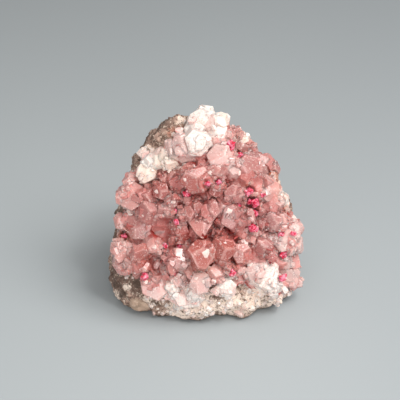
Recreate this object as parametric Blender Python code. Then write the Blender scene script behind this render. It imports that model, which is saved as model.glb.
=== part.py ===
"""A cobaltoan calcite specimen, standing on its broken base.

Rough host rock carries a crust of pink calcite crystals that grew into each other, and small
magenta cobalt-bearing crystals sit in the hollows between them. Lengths are in millimetres
until each finished mesh is scaled to metres. X runs across the specimen, the crystal face looks
towards -Y and up, and Z is up, with the base at Z = 0.
"""

import math
import random

import bmesh
import bpy
from mathutils import Matrix, Vector, noise
from mathutils.bvhtree import BVHTree

METRES_PER_MM = 0.001

# The specimen's block. Each ring is the broken rock's outline at one height: {z: [(x, y), ...]}.
# The lowest ring lies below the base, which is cut flat at Z = 0.
OUTLINE_RINGS = {
    -3: [(-25, -6), (-21, -12), (-13, -15.5), (-3, -16.5), (8, -15), (16, -12),
         (21, -5), (18.5, 8), (10, 15), (-4, 17.5), (-15, 12), (-23, 5)],
    0.5: [(-28.6, -8), (-25.5, -13), (-17, -16.8), (-3, -18), (9, -16.8), (19.5, -14),
          (24.5, -6), (22.5, 8), (12.5, 17), (-4.5, 20), (-18, 15), (-27, 5)],
    4: [(-29.4, -7.5), (-26, -14), (-17, -18), (-3, -20), (10, -18.8), (21.5, -15),
        (26, -6), (24.5, 8), (14, 19), (-5, 21.5), (-20, 17), (-28.5, 5)],
    14: [(-28.8, -5), (-23, -13.5), (-10, -18), (4, -19), (16, -15), (26, -6),
         (27, 5), (20, 17), (0, 22.5), (-18, 19.5), (-28.3, 7)],
    25: [(-27.2, -3), (-19, -10.5), (0, -14), (17, -10), (25.3, -1), (24, 11),
         (10, 21), (-10, 22), (-25, 14)],
    36: [(-24, 2), (-16, -5), (2, -8), (14, -5), (19.6, 3), (18, 13),
         (4, 21), (-14, 20), (-22, 12)],
    46: [(-18, 6), (-8, -1), (4, -1), (10.6, 4), (10, 13), (0, 19), (-14, 16)],
    53: [(-8, 7), (0, 5), (4, 9), (0, 14), (-7, 13)],
}
CENTRE = Vector((0, 2, 22))
OUTSIDE = 100.0  # far enough out to look back at any side of the block
ROCK_DETAIL = 5  # icosphere subdivisions of the rock,
CORE_DETAIL = 4  # of the face that rock and crust share
BED_DETAIL = 3  # and of the crust's bed
ROCK_KEPT = 0.52  # share of its triangles that the rock keeps, fewest where it is flattest
CRUST_KEPT = 0.52  # and the crust

# The crystal face: its normal leans back by this much, and its middle is at this height.
FACE_LEAN = math.radians(35)
FACE_MIDDLE = Vector((0, 0, 25.9))
ACROSS = Vector((1, 0, 0))
UP_FACE = Vector((0, math.sin(FACE_LEAN), math.cos(FACE_LEAN)))
OUT_OF_FACE = Vector((0, -math.cos(FACE_LEAN), math.sin(FACE_LEAN)))

# How far the crust reaches from the middle of the face, as degrees from its normal,
# at each angle round the face counted from +X towards its top.
CRUST_REACH = {
    0: 108, 25: 90, 60: 96, 86: 104, 98: 84, 112: 70, 129: 69, 147: 76, 165: 80, 190: 83, 208: 86,
    216: 80, 226: 70, 236: 72, 251: 76, 266: 70, 288: 69, 301: 77, 313: 85, 335: 100, 360: 108,
}
EDGE_WIDTH = 5.0  # degrees over which the crust thins out at its edge
EDGE_WOBBLE = 7.0
EDGE_WAVES = 3.2
CRUST_THICKNESS = 4.8
BED_DEPTH = 1.4  # how far the bed between the crystals lies inside the block
BURIED = 3.0  # how far the bed dives below bare rock
CORE_PROUD = 6.0  # how far the shared face runs out of the block past the crust's edge

# Hollows in the crystal face, each (across, up, radius, depth).
HOLLOWS = [(-7, -4.5, 9, 4.0), (11, -2, 6, 1.6), (-23, -1, 5, 1.5), (6, 3, 6, 1.5)]
FIT_GAP = 0.35
FLOOR_CLEARANCE = 0.5
MERGE = 0.004
CRYSTAL_SEED = 11

# The host rock's surface: lumps in three sizes, ledges between broken faces, and pits.
LUMP_SIZE, LUMP_HEIGHT = 9.0, 1.8
LEDGE_SIZE, LEDGE_HEIGHT = 6.5, 1.5
LEDGE_STEEPNESS, LEDGE_LEVEL = 2.5, 0.6  # how fast a ledge rises from its edge, and its mean height
PIT_SIZE, PIT_DEPTH = 5.0, 1.6
PIT_FROM, PIT_FULL = 0.25, 0.5  # values of the noise at a pit's rim and on its bottom

# Calcite habits: (angle of the faces' normals from the crystal's axis, turn about it, how many,
# whether they meet at the tip or stand off the axis), with angles in degrees.
HABITS = {
    "nailhead": [(26.3, 0, 3, "tip"), (90, 0, 6, "side")],
    "block": [(44.6, 0, 3, "tip"), (90, 0, 6, "side")],
    "dogtooth": [(44.6, 30, 3, "cut"), (69, 18, 3, "tip"), (69, 42, 3, "tip"), (90, 30, 6, "side")],
    "rhomb": [(44.6, 0, 3, "tip"), (135.4, 60, 3, "tail")],
}
TIP_CUT = 0.8  # how high the flat faces cut a dogtooth's tip, as a share of its length

# The large crystals of the face, each (across, up, width, stand, lean across, lean up, habit):
# where it stands on the face, how wide it is, how far it stands out and where its tip leans.
MAIN_CRYSTALS = [
    (-0.6, 29.0, 5.5, 3.6, 0.0, 0.5, "block"),
    (5.0, 27.8, 4.0, 2.6, 0.3, 0.5, "nailhead"),
    (1.2, 25.0, 5.6, 3.4, 0.1, 0.2, "block"),
    (-3.6, 24.6, 3.4, 2.2, -0.2, 0.2, "nailhead"),
    (5.8, 21.8, 5.0, 3.2, 0.1, 0.1, "block"),
    (9.4, 24.0, 4.0, 2.6, 0.3, 0.4, "block"),
    (10.4, 21.4, 3.2, 2.4, 0.3, 0.1, "nailhead"),
    (-6.6, 17.6, 6.2, 3.8, -0.1, -0.4, "block"),
    (-2.6, 19.4, 5.6, 3.4, 0.1, -0.2, "nailhead"),
    (-10.4, 18.0, 3.2, 2.0, -0.2, 0.1, "block"),
    (-12.8, 16.6, 3.2, 2.0, -0.3, 0.2, "nailhead"),
    (-17.4, 15.6, 4.4, 2.4, -0.4, 0.2, "block"),
    (-14.8, 14.4, 3.6, 2.2, -0.1, 0.1, "nailhead"),
    (-11.0, 13.6, 3.6, 2.0, 0.0, 0.1, "block"),
    (-17.4, 11.4, 4.6, 2.6, -0.3, 0.0, "nailhead"),
    (-22.4, 10.0, 3.8, 2.2, -0.5, 0.1, "block"),
    (-21.8, 5.4, 6.4, 3.6, -0.3, 0.1, "nailhead"),
    (-17.2, 5.0, 4.2, 2.8, -0.1, -0.3, "block"),
    (-12.6, 9.8, 4.8, 2.4, -0.1, 0.1, "dogtooth"),
    (-7.8, 8.8, 5.6, 3.0, 0.0, 0.1, "block"),
    (-12.8, 5.8, 4.0, 2.8, -0.2, -0.1, "nailhead"),
    (-9.4, 3.2, 3.2, 2.8, 0.1, 0.1, "nailhead"),
    (-11.4, 0.2, 4.2, 3.0, -0.2, -0.2, "nailhead"),
    (-6.6, -0.6, 3.8, 3.0, 0.0, -0.1, "nailhead"),
    (-16.4, 0.0, 5.4, 3.4, -0.1, 0.0, "block"),
    (-21.8, -0.4, 2.6, 2.6, 0.2, -0.5, "dogtooth"),
    (-25.6, -2.0, 3.8, 2.2, -0.4, 0.0, "block"),
    (-20.6, -4.4, 6.8, 4.2, -0.1, 0.2, "dogtooth"),
    (-26.6, -9.2, 4.0, 2.2, -0.5, 0.0, "block"),
    (-23.6, -11.0, 4.8, 2.6, -0.2, 0.1, "nailhead"),
    (-22.2, -15.6, 4.2, 2.8, -0.2, 0.1, "block"),
    (-18.0, -14.4, 5.2, 3.2, 0.0, 0.1, "nailhead"),
    (-15.0, -9.0, 4.0, 3.2, 0.1, -0.3, "block"),
    (-8.4, -6.0, 5.4, 2.8, 0.1, 0.0, "block"),
    (-8.4, -12.8, 5.2, 3.6, 0.0, -0.1, "nailhead"),
    (-12.2, -13.2, 3.4, 2.8, 0.0, 0.1, "dogtooth"),
    (-14.4, -20.0, 6.8, 4.4, -0.1, 0.0, "block"),
    (-25.4, -16.4, 4.0, 2.0, -0.5, 0.0, "nailhead"),
    (-2.4, 9.0, 6.4, 4.0, 0.0, -0.5, "nailhead"),
    (2.4, 10.2, 4.8, 3.4, 0.1, 0.0, "block"),
    (2.8, 6.6, 3.4, 3.0, 0.1, -0.1, "nailhead"),
    (-4.4, 2.0, 4.0, 2.6, 0.1, 0.0, "block"),
    (0.0, 0.2, 5.0, 3.0, 0.1, -0.1, "nailhead"),
    (-2.4, -4.4, 5.0, 4.6, -0.1, -0.8, "block"),
    (4.4, 2.0, 5.0, 2.8, 0.2, 0.0, "block"),
    (7.4, 4.8, 4.4, 3.2, 0.1, 0.1, "nailhead"),
    (4.2, 15.0, 6.2, 4.0, 0.0, -0.1, "nailhead"),
    (-0.6, 13.2, 4.2, 2.6, 0.0, -0.1, "block"),
    (11.6, 10.2, 7.4, 4.4, 0.1, -0.4, "block"),
    (13.0, 18.4, 5.4, 3.2, 0.3, 0.2, "block"),
    (10.4, 19.0, 4.0, 2.6, 0.1, 0.1, "nailhead"),
    (16.4, 13.4, 6.0, 3.6, 0.2, 0.0, "nailhead"),
    (19.6, 12.4, 4.0, 2.4, 0.5, 0.1, "block"),
    (12.6, 14.6, 4.0, 3.0, 0.1, 0.2, "block"),
    (8.4, 13.0, 3.2, 2.6, 0.1, 0.0, "nailhead"),
    (17.8, 6.6, 6.0, 2.6, 0.1, 0.3, "nailhead"),
    (22.4, 4.6, 3.6, 2.4, 0.5, 0.1, "block"),
    (18.4, 2.0, 5.6, 3.2, 0.2, 0.1, "block"),
    (19.4, -3.0, 4.4, 3.2, 0.2, 0.0, "nailhead"),
    (16.2, -3.0, 3.4, 2.8, 0.0, -0.2, "dogtooth"),
    (9.2, -1.8, 6.6, 4.2, 0.1, -0.3, "block"),
    (12.4, -8.2, 3.0, 3.0, 0.0, -0.2, "dogtooth"),
    (4.8, -9.8, 6.0, 4.4, 0.2, 0.0, "block"),
    (-0.8, -11.0, 7.0, 4.6, -0.1, 0.1, "nailhead"),
    (3.4, -5.6, 2.8, 2.8, 0.1, 0.4, "dogtooth"),
    (10.0, -11.6, 4.4, 3.0, 0.1, 0.0, "nailhead"),
    (16.8, -9.8, 6.4, 4.0, 0.1, 0.0, "dogtooth"),
    (22.4, -8.2, 5.6, 4.0, 0.3, 0.1, "nailhead"),
    (22.4, -2.8, 4.0, 3.2, 0.5, 0.2, "block"),
    (26.4, -4.4, 4.6, 3.4, 0.7, 0.1, "nailhead"),
    (27.2, -9.4, 4.2, 3.0, 0.7, -0.1, "block"),
    (24.2, -14.6, 5.4, 3.6, 0.4, 0.0, "block"),
    (23.4, -19.6, 5.2, 3.4, 0.6, -0.1, "nailhead"),
    (17.8, -19.0, 5.6, 4.4, 0.2, 0.1, "block"),
    (13.8, -16.8, 4.2, 2.8, 0.1, 0.0, "nailhead"),
    (5.2, -14.0, 3.2, 2.8, 0.0, 0.0, "nailhead"),
    (2.6, -18.2, 4.2, 3.0, 0.0, 0.1, "block"),
    (5.8, -21.2, 4.8, 3.8, 0.0, 0.0, "block"),
    (3.4, -23.8, 2.8, 2.6, -0.1, 0.3, "dogtooth"),
    (-2.2, -20.2, 5.0, 3.2, 0.0, 0.2, "nailhead"),
    (-3.0, -24.4, 4.2, 2.4, 0.0, 0.1, "block"),
    (-7.2, -23.8, 5.2, 3.8, 0.0, 0.0, "block"),
    (-11.6, -23.4, 4.8, 3.0, -0.1, 0.1, "nailhead"),
    (-9.0, -19.2, 4.0, 2.2, 0.0, 0.1, "block"),
    (19.6, -24.6, 4.2, 2.6, 0.3, 0.0, "nailhead"),
    (17.0, -25.0, 4.0, 2.6, 0.1, 0.0, "block"),
]
MAIN_SCALE = 1.15  # how much wider they are grown, so that they meet
FACE_PULL = 0.6  # how much they point out of the whole face, against off their own spot of it
EDGE_STEP = 0.98  # how a spot past the specimen's edge is moved in, in each step

# The smaller crystals between them: how many, their width, how near each other they stand and
# how far out, both as shares of their width, and how far they lean.
FILL_CRYSTALS = 45
FILL_WIDTH = (2.8, 4.8)
FILL_CROWDING = 0.46
FILL_STAND = 0.5
FILL_LEAN = 0.3
FILL_COVERAGE = 0.9  # they stand only where the crust is this thick
FILL_TRIES = 4000

EMBEDDED = 2.4  # how deep a crystal's root goes into the crust's bed
FACE_WANDER = 0.10  # how far a face may sit nearer or farther than its habit says
TILT_WANDER = math.radians(3)

# The cobalt-bearing crystals, each (across, up, width, how many grew together).
COBALT_CRYSTALS = [
    (6.4, 18.6, 2.4, 2), (9.3, 15.9, 1.7, 2), (0.2, 8.0, 1.4, 2), (3.2, 8.4, 1.4, 2),
    (-6.4, 5.5, 2.2, 3), (-21.7, 1.6, 1.4, 1), (-9.0, 0.5, 1.5, 2), (-8.4, -2.6, 1.6, 1),
    (-2.9, -1.2, 1.5, 2), (11.6, 6.1, 2.1, 2), (15.6, 4.9, 1.5, 1), (13.9, 2.5, 2.5, 3),
    (14.0, -0.1, 1.9, 1), (13.3, -4.9, 2.5, 3), (9.0, 1.7, 1.4, 1), (21.6, -6.4, 1.9, 2),
    (24.6, -6.4, 1.6, 1), (22.3, -11.9, 2.1, 2), (18.3, -14.5, 1.4, 1), (21.2, -18.9, 2.4, 2),
    (7.5, -16.5, 2.0, 2), (-9.3, -17.4, 2.0, 2), (-18.0, -17.7, 2.4, 2), (-24.0, -7.0, 1.5, 1),
    (-11.9, -9.6, 1.5, 1), (-7.8, -10.2, 1.7, 2),
]
# Shares of a cobalt crystal's width: its half height, how far its middle stands off the crust,
# and how wide those grown through it are and how far from its middle.
RHOMB_STAND = 0.7
COBALT_STAND = 0.25
TWIN_WIDTH = (0.6, 0.85)
TWIN_OFFSET = 0.35

SLOT_FINISHES = {  # each material: (colour, roughness)
    "host_rock": ((0.36, 0.31, 0.26), 0.9),
    "pink_calcite": ((0.66, 0.34, 0.32), 0.35),
    "cobalt_calcite": ((0.62, 0.05, 0.17), 0.3),
}


def clear_scene():
    for obj in list(bpy.data.objects):
        bpy.data.objects.remove(obj)


def material(slot):
    finish = bpy.data.materials.new(slot)
    finish.use_nodes = True
    shader = finish.node_tree.nodes["Principled BSDF"]
    colour, roughness = SLOT_FINISHES[slot]
    shader.inputs["Base Color"].default_value = (*colour, 1)
    shader.inputs["Roughness"].default_value = roughness
    shader.inputs["Metallic"].default_value = 0.0
    finish.diffuse_color = (*colour, 1)
    return finish


def smooth_step(low, high, value):
    t = min(1.0, max(0.0, (value - low) / (high - low)))
    return t * t * (3 - 2 * t)


# The block ------------------------------------------------------------------------------------


def block_hull():
    """The block's convex outline, as a tree that rays can be cast into."""
    bm = bmesh.new()
    for z, ring in OUTLINE_RINGS.items():
        for x, y in ring:
            bm.verts.new((x, y, z))
    bmesh.ops.convex_hull(bm, input=bm.verts)
    tree = BVHTree.FromBMesh(bm)
    bm.free()
    return tree


def reach_at(turn):
    """The crust's reach in degrees at an angle round the face, between the two given ones."""
    angles = sorted(CRUST_REACH)
    after = next(i for i, a in enumerate(angles) if a >= turn)
    if after == 0:
        return CRUST_REACH[angles[0]]
    low, high = angles[after - 1], angles[after]
    share = (turn - low) / (high - low)
    return CRUST_REACH[low] * (1 - share) + CRUST_REACH[high] * share


def coverage(direction):
    """1 where the crust is at its full thickness, 0 where the rock is bare."""
    turn = math.degrees(math.atan2(direction.dot(UP_FACE), direction.dot(ACROSS))) % 360
    off_normal = math.degrees(direction.angle(OUT_OF_FACE))
    wobble = EDGE_WOBBLE * noise.noise(direction * EDGE_WAVES)
    return smooth_step(-EDGE_WIDTH, EDGE_WIDTH, reach_at(turn) + wobble - off_normal)


def rock_relief(point):
    """Lumps, ledges and pits of broken rock, as millimetres in or out at a point."""
    lumps = noise.fractal(point / LUMP_SIZE, 1.0, 2.1, 3)
    steps = noise.voronoi(point / LEDGE_SIZE)[0]
    ledges = min(1.0, (steps[1] - steps[0]) * LEDGE_STEEPNESS)
    pits = smooth_step(PIT_FROM, PIT_FULL, noise.noise(point / PIT_SIZE))
    return LUMP_HEIGHT * lumps + LEDGE_HEIGHT * (ledges - LEDGE_LEVEL) - PIT_DEPTH * pits


def blank(radius_at, detail):
    """A closed mesh round the block's centre, its radius given by radius_at(direction)."""
    bm = bmesh.new()
    bmesh.ops.create_icosphere(bm, subdivisions=detail, radius=1.0)
    for vert in bm.verts:
        direction = vert.co.normalized()
        vert.co = CENTRE + direction * radius_at(direction)
    return bm


def cut_below(bm, height):
    """Cuts the mesh off flat at a height and closes the cut."""
    everything = bm.verts[:] + bm.edges[:] + bm.faces[:]
    cut = bmesh.ops.bisect_plane(
        bm, geom=everything, plane_co=(0, 0, height), plane_no=(0, 0, -1), clear_outer=True
    )
    edges = [e for e in cut["geom_cut"] if isinstance(e, bmesh.types.BMEdge)]
    bmesh.ops.contextual_create(bm, geom=edges)


def hollow_depth(point):
    """How deep the crystal face is hollowed at a point of the block's surface."""
    across, up = point.dot(ACROSS), (point - FACE_MIDDLE).dot(UP_FACE)
    if (point - CENTRE).dot(OUT_OF_FACE) < 0:
        return 0.0
    return sum(
        depth * math.exp(-((across - x) ** 2 + (up - y) ** 2) / radius**2)
        for x, y, radius, depth in HOLLOWS
    )


class Block:
    """The specimen's block: where its outside, its bare rock and its crust lie."""

    def __init__(self):
        self.hull = block_hull()

    def radius(self, direction):
        point = self.hull.ray_cast(CENTRE + direction * OUTSIDE, -direction)[0]
        return (point - CENTRE).length - hollow_depth(point)

    def rock_radius(self, direction):
        radius = self.radius(direction)
        return radius + rock_relief(CENTRE + direction * radius)

    def core_radius(self, direction):
        """The face that rock and crust share: under the crust, and outside the block elsewhere."""
        covered = coverage(direction)
        return self.radius(direction) + CORE_PROUD - (CORE_PROUD + CRUST_THICKNESS) * covered

    def bed_radius(self, direction):
        """The crust's bed between the crystals, which dives into the rock past the crust's edge."""
        return self.radius(direction) - BED_DEPTH - BURIED * (1 - coverage(direction))


# Crystals -------------------------------------------------------------------------------------


def cut_crystal(habit, width, stand, draw, grow=0.0):
    """A crystal with flat faces, cut from a cube by planes, its tip on +Z and its foot below 0.

    grow moves every face out by that much, for the pocket that the crystal sits in.
    """
    bm = bmesh.new()
    bmesh.ops.create_cube(bm, size=4 * (width + stand))
    planes = [(Vector((0, 0, -1)), EMBEDDED)]
    for tilt, turn, count, meets in HABITS[habit]:
        for i in range(count):
            tilted = math.radians(tilt) + draw.uniform(-TILT_WANDER, TILT_WANDER)
            turned = math.radians(turn + 360 * i / count) + draw.uniform(-TILT_WANDER, TILT_WANDER)
            normal = Vector((
                math.sin(tilted) * math.cos(turned), math.sin(tilted) * math.sin(turned), math.cos(tilted)
            ))
            reach = {
                "tip": stand * math.cos(tilted),
                "tail": stand * math.cos(math.pi - tilted),
                "cut": stand * TIP_CUT * math.cos(tilted),
                "side": width / 2,
            }[meets]
            planes.append((normal, reach * draw.uniform(1 - FACE_WANDER, 1 + FACE_WANDER)))
    for normal, reach in planes:
        everything = bm.verts[:] + bm.edges[:] + bm.faces[:]
        cut = bmesh.ops.bisect_plane(
            bm, geom=everything, plane_co=normal * (reach + grow), plane_no=normal, clear_outer=True
        )
        edges = [e for e in cut["geom_cut"] if isinstance(e, bmesh.types.BMEdge)]
        if edges:
            bmesh.ops.contextual_create(bm, geom=edges)
    bmesh.ops.recalc_face_normals(bm, faces=bm.faces)
    return bm


def placed(bm, foot, axis, turn):
    """Stands a crystal on its foot along an axis."""
    stand_up = axis.to_track_quat("Z", "Y").to_matrix().to_4x4()
    bm.transform(Matrix.Translation(foot) @ stand_up @ Matrix.Rotation(turn, 4, "Z"))
    return bm


def on_face(surface, across, up):
    """Where a line square to the crystal face meets a surface: (point, normal).

    A line that passes the specimen's edge is moved in towards the middle until it meets it.
    """
    point = None
    while point is None:
        start = FACE_MIDDLE + ACROSS * across + UP_FACE * up + OUT_OF_FACE * OUTSIDE
        point, normal, _, _ = surface.ray_cast(start, -OUT_OF_FACE)
        across, up = across * EDGE_STEP, up * EDGE_STEP
    return point, normal


def plant_main_crystals(bed, draw):
    """The face's large crystals, as (crystal, foot, width)."""
    planted = []
    for across, up, width, stand, lean_across, lean_up, habit in MAIN_CRYSTALS:
        foot, normal = on_face(bed, across, up)
        lean = ACROSS * lean_across + UP_FACE * lean_up
        axis = (normal + OUT_OF_FACE * FACE_PULL + lean).normalized()
        crystal = cut_crystal(habit, width * MAIN_SCALE, stand + BED_DEPTH, draw)
        planted.append((placed(crystal, foot, axis, draw.uniform(0, math.tau)), foot, width))
    return planted


def plant_fill_crystals(bed, planted, draw):
    """Smaller crystals wherever the large ones leave room on the crust."""
    added = 0
    for _ in range(FILL_TRIES):
        direction = Vector([draw.gauss(0, 1) for _ in range(3)]).normalized()
        width = draw.uniform(*FILL_WIDTH)
        if added == FILL_CRYSTALS or coverage(direction) < FILL_COVERAGE:
            continue
        foot, normal, _, _ = bed.ray_cast(CENTRE + direction * OUTSIDE, -direction)
        if foot.z < width + FLOOR_CLEARANCE:
            continue
        if any((foot - other).length < (width + wide) * FILL_CROWDING for _, other, wide in planted):
            continue
        lean = Vector([draw.uniform(-FILL_LEAN, FILL_LEAN) for _ in range(3)])
        habit = draw.choice(["nailhead", "block", "dogtooth"])
        crystal = cut_crystal(habit, width, width * FILL_STAND + BED_DEPTH, draw)
        axis = (normal + lean).normalized()
        planted.append((placed(crystal, foot, axis, draw.uniform(0, math.tau)), foot, width))
        added += 1
    return planted


# Solids ---------------------------------------------------------------------------------------


def joined(*parts):
    """One bmesh that holds all of these, which are freed."""
    whole = bmesh.new()
    mesh = bpy.data.meshes.new("part")
    for part in parts:
        part.to_mesh(mesh)
        whole.from_mesh(mesh)
        part.free()
    bpy.data.meshes.remove(mesh)
    return whole


def helper(name, bm):
    """A hidden object that a Boolean can read."""
    mesh = bpy.data.meshes.new(name)
    bm.to_mesh(mesh)
    bm.free()
    obj = bpy.data.objects.new(name, mesh)
    obj.hide_render = True
    obj.display_type = "WIRE"
    bpy.context.scene.collection.objects.link(obj)
    return obj


def combined(first, operation, second):
    """The Boolean of two bmeshes, with each one's own overlaps resolved too."""
    obj, other = helper("first", first), helper("second", second)
    cut = obj.modifiers.new("cut", "BOOLEAN")
    cut.operation = operation
    cut.object = other
    cut.solver = "EXACT"
    cut.use_self = True
    bm = bmesh.new()
    bm.from_object(obj, bpy.context.evaluated_depsgraph_get())
    for used in (obj, other):
        bpy.data.objects.remove(used)
    return bm


def keep_main_body(bm):
    """Deletes the loose chips that a cut leaves round the largest body."""
    bodies = []
    left = set(bm.faces)
    while left:
        body, waiting = [], [left.pop()]
        while waiting:
            face = waiting.pop()
            body.append(face)
            near = {f for e in face.edges for f in e.link_faces} & left
            left -= near
            waiting.extend(near)
        bodies.append(body)
    bodies.sort(key=len)
    chips = [face for body in bodies[:-1] for face in body]
    bmesh.ops.delete(bm, geom=chips, context="FACES")


def finish(bm, name, slot):
    """Scales a mesh to metres and makes it a visible object of the specimen."""
    bmesh.ops.remove_doubles(bm, verts=bm.verts, dist=MERGE)
    bmesh.ops.dissolve_degenerate(bm, edges=bm.edges, dist=MERGE)
    bmesh.ops.scale(bm, vec=(METRES_PER_MM,) * 3, verts=bm.verts)
    mesh = bpy.data.meshes.new(name)
    bm.to_mesh(mesh)
    bm.free()
    mesh.materials.append(bpy.data.materials.get(slot) or material(slot))
    obj = bpy.data.objects.new(name, mesh)
    bpy.context.scene.collection.objects.link(obj)
    return obj


def thinned(bm, kept):
    """The mesh with this share of its triangles left, the flattest places thinned first."""
    obj = helper("thinned", bm)
    thin = obj.modifiers.new("thin", "DECIMATE")
    thin.ratio = kept
    bm = bmesh.new()
    bm.from_object(obj, bpy.context.evaluated_depsgraph_get())
    bpy.data.objects.remove(obj)
    return bm


def make_host_rock(block):
    rock = thinned(blank(block.rock_radius, ROCK_DETAIL), ROCK_KEPT)
    core = blank(block.core_radius, CORE_DETAIL)
    cut_below(core, 0)
    rock = combined(rock, "INTERSECT", core)
    keep_main_body(rock)
    finish(rock, "host_rock", "host_rock")


def crust_cutter(block):
    """The rock's core grown by the fit gap, and the floor."""
    grown = blank(lambda direction: block.core_radius(direction) + FIT_GAP, CORE_DETAIL)
    floor = bmesh.new()
    bmesh.ops.create_cube(floor, size=100)
    bmesh.ops.translate(floor, vec=(0, 0, FLOOR_CLEARANCE - 50), verts=floor.verts)
    return joined(grown, floor)


def some_way(draw):
    """An arrow drawn from a cube's inside."""
    return Vector([draw.uniform(-1, 1) for _ in range(3)])


def cobalt_cluster(index, crust_surface, grow=0.0):
    """A few rhombs that grew through each other, or the slightly larger pocket they sit in."""
    across, up, width, count = COBALT_CRYSTALS[index]
    draw = random.Random(index)
    point, normal = on_face(crust_surface, across, up)
    middle = point + normal * width * COBALT_STAND
    rhombs = []
    for i in range(count):
        size = width * (draw.uniform(*TWIN_WIDTH) if i else 1)
        aside = some_way(draw).normalized() * width * (TWIN_OFFSET if i else 0)
        rhomb = cut_crystal("rhomb", size, size * RHOMB_STAND, draw, grow)
        axis = (normal + some_way(draw)).normalized()
        rhombs.append(placed(rhomb, middle + aside, axis, draw.uniform(0, math.tau)))
    return joined(*rhombs)


def make_crust(block):
    draw = random.Random(CRYSTAL_SEED)
    bed = blank(block.bed_radius, BED_DETAIL)
    bed_surface = BVHTree.FromBMesh(bed)
    planted = plant_main_crystals(bed_surface, draw)
    planted = plant_fill_crystals(bed_surface, planted, draw)
    grown = joined(*[crystal for crystal, _, _ in planted])
    grown = thinned(combined(grown, "UNION", bed), CRUST_KEPT)
    surface = BVHTree.FromBMesh(grown)
    clusters = range(len(COBALT_CRYSTALS))
    pockets = [cobalt_cluster(i, surface, FIT_GAP) for i in clusters]
    crust = combined(grown, "DIFFERENCE", joined(crust_cutter(block), *pockets))
    keep_main_body(crust)
    finish(crust, "pink_calcite_crust", "pink_calcite")
    for i in clusters:
        cluster = combined(cobalt_cluster(i, surface), "UNION", bmesh.new())
        finish(cluster, f"cobalt_crystal_{i + 1:02d}", "cobalt_calcite")


def centre_on_base():
    """Moves every piece so that the middle of the specimen's box stands on the origin."""
    meshes = [obj.data for obj in bpy.data.objects]
    corners = [vert.co for mesh in meshes for vert in mesh.vertices]
    low = Vector([min(co[axis] for co in corners) for axis in range(3)])
    high = Vector([max(co[axis] for co in corners) for axis in range(3)])
    to_base = Vector((-(low.x + high.x) / 2, -(low.y + high.y) / 2, -low.z))
    for mesh in meshes:
        mesh.transform(Matrix.Translation(to_base))


def main():
    clear_scene()
    block = Block()
    make_host_rock(block)
    make_crust(block)
    centre_on_base()


main()
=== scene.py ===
import functools
import math
import random

import bmesh
import bpy
from mathutils import Matrix, Vector, noise
from mathutils.bvhtree import BVHTree


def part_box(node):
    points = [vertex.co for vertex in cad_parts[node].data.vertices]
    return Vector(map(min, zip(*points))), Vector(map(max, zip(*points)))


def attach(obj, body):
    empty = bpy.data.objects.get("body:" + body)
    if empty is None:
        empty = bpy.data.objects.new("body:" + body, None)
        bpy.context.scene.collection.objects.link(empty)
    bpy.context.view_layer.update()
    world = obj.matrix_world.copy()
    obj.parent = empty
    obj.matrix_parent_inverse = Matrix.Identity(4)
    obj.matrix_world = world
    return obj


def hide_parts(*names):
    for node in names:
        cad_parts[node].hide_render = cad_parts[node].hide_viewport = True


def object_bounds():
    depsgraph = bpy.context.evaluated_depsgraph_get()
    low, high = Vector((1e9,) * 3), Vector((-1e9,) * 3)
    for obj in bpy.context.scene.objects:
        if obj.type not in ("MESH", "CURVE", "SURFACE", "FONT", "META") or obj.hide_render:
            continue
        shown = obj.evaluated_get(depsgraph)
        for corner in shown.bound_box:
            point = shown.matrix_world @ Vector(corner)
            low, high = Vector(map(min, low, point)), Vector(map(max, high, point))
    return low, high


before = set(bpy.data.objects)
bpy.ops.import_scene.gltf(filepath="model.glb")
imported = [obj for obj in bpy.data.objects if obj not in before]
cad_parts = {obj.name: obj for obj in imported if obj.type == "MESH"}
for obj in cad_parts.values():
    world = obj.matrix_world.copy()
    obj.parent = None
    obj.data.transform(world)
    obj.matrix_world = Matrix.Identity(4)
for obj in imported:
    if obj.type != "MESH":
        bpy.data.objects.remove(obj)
cad_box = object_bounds()
print("CAD box", [round(side * 1000, 1) for side in cad_box[1] - cad_box[0]], "mm")

# %% [markdown]
# ## The crystal face
# The crystals cover one side of the block, which leans back. Places on it are easiest to name in
# millimetres across and up the face from its middle, so two helpers turn them to and from the
# frame's metres. A plain length below is in millimetres, and one times `MM` is in metres.
# %% The crystal face
MM = 0.001
FACE_LEAN = math.radians(35)
FACE_MIDDLE = Vector((0.4, -0.5, 25.9)) * MM
ACROSS = Vector((1, 0, 0))
UP_FACE = Vector((0, math.sin(FACE_LEAN), math.cos(FACE_LEAN)))
OUT_OF_FACE = Vector((0, -math.cos(FACE_LEAN), math.sin(FACE_LEAN)))


def face_place(point):
    """How many millimetres a point lies across and up the crystal face."""
    away = point - FACE_MIDDLE
    return away.dot(ACROSS) / MM, away.dot(UP_FACE) / MM


def patch_share_at(across, up, patches):
    """The largest share of these patches, each (across, up, radius), at a place: 1 to 0."""
    share = 0.0
    for x, y, radius in patches:
        share = max(share, math.exp(-((across - x) ** 2 + (up - y) ** 2) / radius**2))
    return share


def patch_share(point, patches):
    """The same for a point in space."""
    return patch_share_at(*face_place(point), patches)


def smooth_step(low, high, value):
    """0 at low and 1 at high, with an even start and end between them."""
    t = min(1.0, max(0.0, (value - low) / (high - low)))
    return t * t * (3 - 2 * t)


print("the face's middle is at", [round(part / MM, 1) for part in FACE_MIDDLE], "mm")

# %% [markdown]
# ## Camera, floor and light
# A long lens from the front, looking down on the leaning face, keeps the specimen's shape true.
# It stands on a plain pale floor. A broad soft light from the upper right gives the soft shadow on
# the left, a second one low in front reaches under the crystals, and a small one makes their faces
# glint. A dim pale world fills in the rest. One lamp alone would leave the hollows black.
# %% Camera, floor and light
AIM = FACE_MIDDLE + ACROSS * (-2.0 * MM) + UP_FACE * (3.5 * MM)
CAMERA_AWAY = 435 * MM
LENS_MM = 135
SENSOR_MM = 36
FLOOR_SIDE = 4.0


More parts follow.
